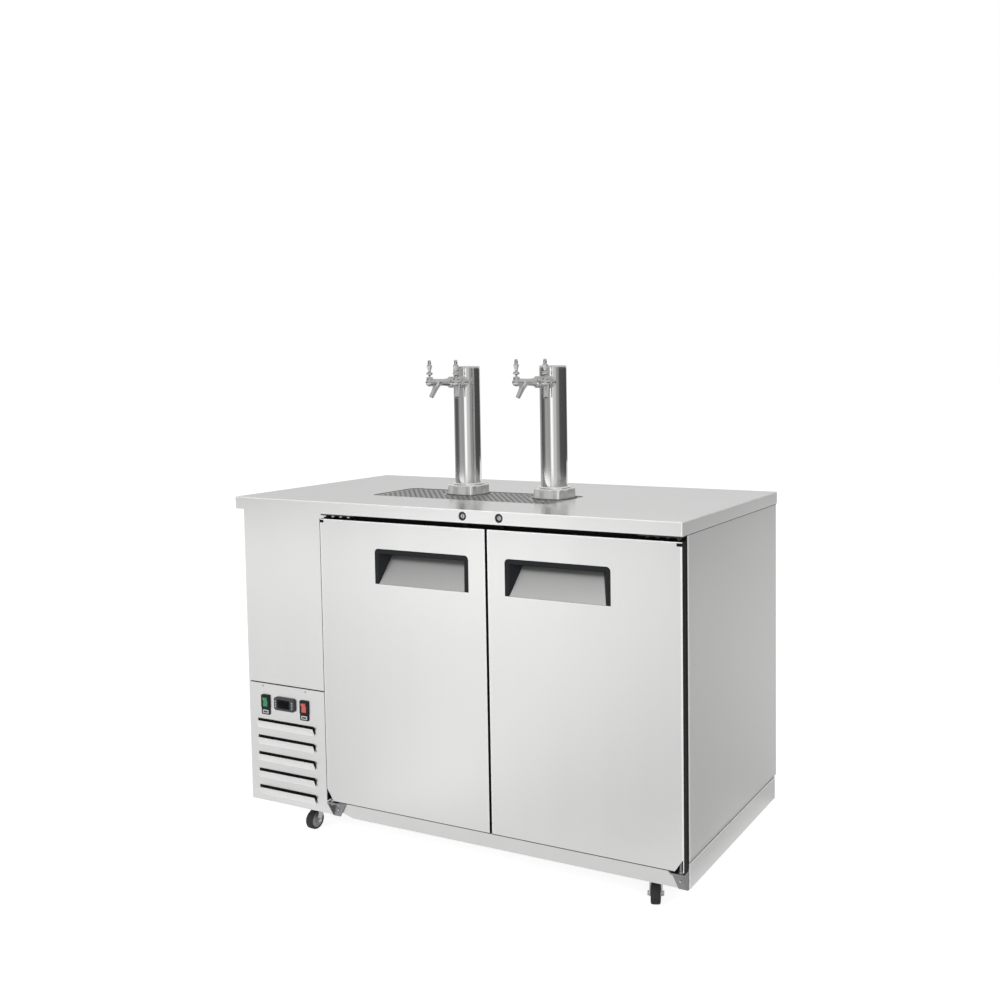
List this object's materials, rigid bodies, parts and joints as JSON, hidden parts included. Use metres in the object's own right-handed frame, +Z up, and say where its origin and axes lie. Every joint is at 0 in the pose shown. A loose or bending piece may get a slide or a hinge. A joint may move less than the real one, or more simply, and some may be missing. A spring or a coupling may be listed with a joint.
{
  "type": "draft beer cooler",
  "caption": "Stainless draft beer cooler with hinged doors, louvred machine bay, drip tray and twin-faucet towers, on swivel casters.",
  "frame": {"origin": "centre of the footprint, on the floor", "axes": "+X along the front towards the hinge of the right door, -Y towards the person who pours, +Z up"},
  "size_m": [1.468, 0.714, 1.425],
  "materials": {
    "brushed_steel": "satin brushed stainless sheet",
    "tray_steel": "satin stainless sheet in shade",
    "black_moulding": "fine matte moulding",
    "green_lens": "translucent green",
    "red_lens": "translucent red",
    "compressor_paint": "black stove enamel",
    "coil_aluminium": "thin fins",
    "fan_plastic": "matte",
    "gasket": "soft matte",
    "zinc_plate": "zinc plated",
    "polished_steel": "mirror polished",
    "beer_line": "translucent hose",
    "wheel_rubber": "moulded tread"
  },
  "bodies": {
    "cabinet": {"cabinet_shell": "brushed_steel", "base_frame": "brushed_steel", "worktop": "brushed_steel", "upper_left_panel": "brushed_steel", "control_panel": "brushed_steel", "rear_grille": "brushed_steel", "drip_tray_pan": "tray_steel", "controller": "black_moulding", "green_switch_housing": "black_moulding", "red_switch_housing": "black_moulding", "compressor": "compressor_paint", "condenser": "coil_aluminium", "evaporator": "coil_aluminium", "left_top_hinge": "compressor_paint", "left_bottom_hinge": "zinc_plate", "left_tower": "polished_steel", "left_beer_lines": "beer_line", "right_top_hinge": "compressor_paint", "right_bottom_hinge": "zinc_plate", "right_tower": "polished_steel", "right_beer_lines": "beer_line", "faucet_1_shank": "polished_steel", "faucet_1_body": "polished_steel", "faucet_2_shank": "polished_steel", "faucet_2_body": "polished_steel", "faucet_3_shank": "polished_steel", "faucet_3_body": "polished_steel", "faucet_4_shank": "polished_steel", "faucet_4_body": "polished_steel"},
    "left_door_leaf": {"left_door": "brushed_steel", "left_door_gasket": "gasket", "left_door_handle": "black_moulding"},
    "left_lock_cam": {"left_lock": "polished_steel"},
    "right_door_leaf": {"right_door": "brushed_steel", "right_door_gasket": "gasket", "right_door_handle": "black_moulding"},
    "right_lock_cam": {"right_lock": "polished_steel"},
    "tray_grille": {"drip_tray_grille": "tray_steel"},
    "key_left": {"controller_key_left": "black_moulding"},
    "key_right": {"controller_key_right": "black_moulding"},
    "green_rocker": {"green_switch_rocker": "green_lens"},
    "red_rocker": {"red_switch_rocker": "red_lens"},
    "condenser_fan_rotor": {"condenser_fan": "fan_plastic"},
    "evaporator_fan_rotor": {"evaporator_fan": "fan_plastic"},
    "lever_1": {"faucet_1_lever": "polished_steel"},
    "plunger_1": {"faucet_1_plunger": "polished_steel"},
    "lever_2": {"faucet_2_lever": "polished_steel"},
    "plunger_2": {"faucet_2_plunger": "polished_steel"},
    "lever_3": {"faucet_3_lever": "polished_steel"},
    "plunger_3": {"faucet_3_plunger": "polished_steel"},
    "lever_4": {"faucet_4_lever": "polished_steel"},
    "plunger_4": {"faucet_4_plunger": "polished_steel"},
    "front_left_fork": {"front_left_caster_fork": "zinc_plate"},
    "front_left_wheel": {"front_left_caster_wheel": "wheel_rubber"},
    "front_right_fork": {"front_right_caster_fork": "zinc_plate"},
    "front_right_wheel": {"front_right_caster_wheel": "wheel_rubber"},
    "rear_left_fork": {"rear_left_caster_fork": "zinc_plate"},
    "rear_left_wheel": {"rear_left_caster_wheel": "wheel_rubber"},
    "rear_right_fork": {"rear_right_caster_fork": "zinc_plate"},
    "rear_right_wheel": {"rear_right_caster_wheel": "wheel_rubber"}
  },
  "joints": [
    {"name": "left_door_hinge", "type": "hinge", "parent": "cabinet", "child": "left_door_leaf", "pos_m": [-0.397, -0.346, 0.55], "axis": [0, 0, -1], "range_deg": [0, 105]},
    {"name": "right_door_hinge", "type": "hinge", "parent": "cabinet", "child": "right_door_leaf", "pos_m": [0.72, -0.346, 0.55], "axis": [0, 0, 1], "range_deg": [0, 105]},
    {"name": "left_lock_turn", "type": "hinge", "parent": "cabinet", "child": "left_lock_cam", "pos_m": [0.0875, -0.35, 1.003], "axis": [0, -1, 0], "range_deg": [0, 90]},
    {"name": "right_lock_turn", "type": "hinge", "parent": "cabinet", "child": "right_lock_cam", "pos_m": [0.2035, -0.35, 1.003], "axis": [0, -1, 0], "range_deg": [0, 90]},
    {"name": "tray_grille_lift", "type": "slide", "parent": "cabinet", "child": "tray_grille", "axis": [0, 0, 1], "range_m": [0, 0.04]},
    {"name": "key_left_press", "type": "slide", "parent": "cabinet", "child": "key_left", "axis": [0, 1, 0], "range_m": [0, 0.001], "stiffness_N_per_m": 400},
    {"name": "key_right_press", "type": "slide", "parent": "cabinet", "child": "key_right", "axis": [0, 1, 0], "range_m": [0, 0.001], "stiffness_N_per_m": 400},
    {"name": "green_rocker_tilt", "type": "hinge", "parent": "cabinet", "child": "green_rocker", "pos_m": [-0.6645, -0.3278, 0.394], "axis": [-1, 0, 0], "range_deg": [0, 14]},
    {"name": "red_rocker_tilt", "type": "hinge", "parent": "cabinet", "child": "red_rocker", "pos_m": [-0.5125, -0.3278, 0.394], "axis": [-1, 0, 0], "range_deg": [0, 14]},
    {"name": "condenser_fan_spin", "type": "hinge", "parent": "cabinet", "child": "condenser_fan_rotor", "pos_m": [-0.5695, -0.2, 0.2796], "axis": [0, 1, 0], "continuous": true},
    {"name": "evaporator_fan_spin", "type": "hinge", "parent": "cabinet", "child": "evaporator_fan_rotor", "pos_m": [-0.3, 0.06, 0.78], "axis": [1, 0, 0], "continuous": true},
    {"name": "faucet_1_lever_tilt", "type": "hinge", "parent": "cabinet", "child": "lever_1", "pos_m": [-0.17928, -0.12772, 1.369], "axis": [0.8829, -0.4695, 0], "range_deg": [0, 25]},
    {"name": "faucet_1_plunger_slide", "type": "slide", "parent": "cabinet", "child": "plunger_1", "axis": [0.4695, 0.8829, 0], "range_m": [0, 0.0046]},
    {"name": "faucet_2_lever_tilt", "type": "hinge", "parent": "cabinet", "child": "lever_2", "pos_m": [-0.08027, -0.13464, 1.369], "axis": [0.9397, 0.342, 0], "range_deg": [0, 25]},
    {"name": "faucet_2_plunger_slide", "type": "slide", "parent": "cabinet", "child": "plunger_2", "axis": [-0.342, 0.9397, 0], "range_m": [0, 0.0046]},
    {"name": "faucet_3_lever_tilt", "type": "hinge", "parent": "cabinet", "child": "lever_3", "pos_m": [0.12172, -0.12772, 1.369], "axis": [0.8829, -0.4695, 0], "range_deg": [0, 25]},
    {"name": "faucet_3_plunger_slide", "type": "slide", "parent": "cabinet", "child": "plunger_3", "axis": [0.4695, 0.8829, 0], "range_m": [0, 0.0046]},
    {"name": "faucet_4_lever_tilt", "type": "hinge", "parent": "cabinet", "child": "lever_4", "pos_m": [0.22073, -0.13464, 1.369], "axis": [0.9397, 0.342, 0], "range_deg": [0, 25]},
    {"name": "faucet_4_plunger_slide", "type": "slide", "parent": "cabinet", "child": "plunger_4", "axis": [-0.342, 0.9397, 0], "range_m": [0, 0.0046]},
    {"name": "front_left_swivel", "type": "hinge", "parent": "cabinet", "child": "front_left_fork", "pos_m": [-0.535, -0.251, 0.07], "axis": [0, 0, 1], "continuous": true},
    {"name": "front_left_roll", "type": "hinge", "parent": "front_left_fork", "child": "front_left_wheel", "pos_m": [-0.535, -0.273, 0.028], "axis": [1, 0, 0], "continuous": true},
    {"name": "front_right_swivel", "type": "hinge", "parent": "cabinet", "child": "front_right_fork", "pos_m": [0.606, -0.251, 0.07], "axis": [0, 0, 1], "continuous": true},
    {"name": "front_right_roll", "type": "hinge", "parent": "front_right_fork", "child": "front_right_wheel", "pos_m": [0.61424, -0.2714, 0.028], "axis": [0.9272, 0.3746, 0], "continuous": true},
    {"name": "rear_left_swivel", "type": "hinge", "parent": "cabinet", "child": "rear_left_fork", "pos_m": [-0.535, 0.273, 0.07], "axis": [0, 0, 1], "continuous": true},
    {"name": "rear_left_roll", "type": "hinge", "parent": "rear_left_fork", "child": "rear_left_wheel", "pos_m": [-0.53957, 0.25148, 0.028], "axis": [0.9781, -0.2079, 0], "continuous": true},
    {"name": "rear_right_swivel", "type": "hinge", "parent": "cabinet", "child": "rear_right_fork", "pos_m": [0.606, 0.273, 0.07], "axis": [0, 0, 1], "continuous": true},
    {"name": "rear_right_roll", "type": "hinge", "parent": "rear_right_fork", "child": "rear_right_wheel", "pos_m": [0.60906, 0.25121, 0.028], "axis": [0.9903, 0.1392, 0], "continuous": true}
  ],
  "couplings": [
    {"joint": "faucet_1_plunger_slide", "follows": "faucet_1_lever_tilt", "m_per_rad": 0.01},
    {"joint": "faucet_2_plunger_slide", "follows": "faucet_2_lever_tilt", "m_per_rad": 0.01},
    {"joint": "faucet_3_plunger_slide", "follows": "faucet_3_lever_tilt", "m_per_rad": 0.01},
    {"joint": "faucet_4_plunger_slide", "follows": "faucet_4_lever_tilt", "m_per_rad": 0.01}
  ]
}
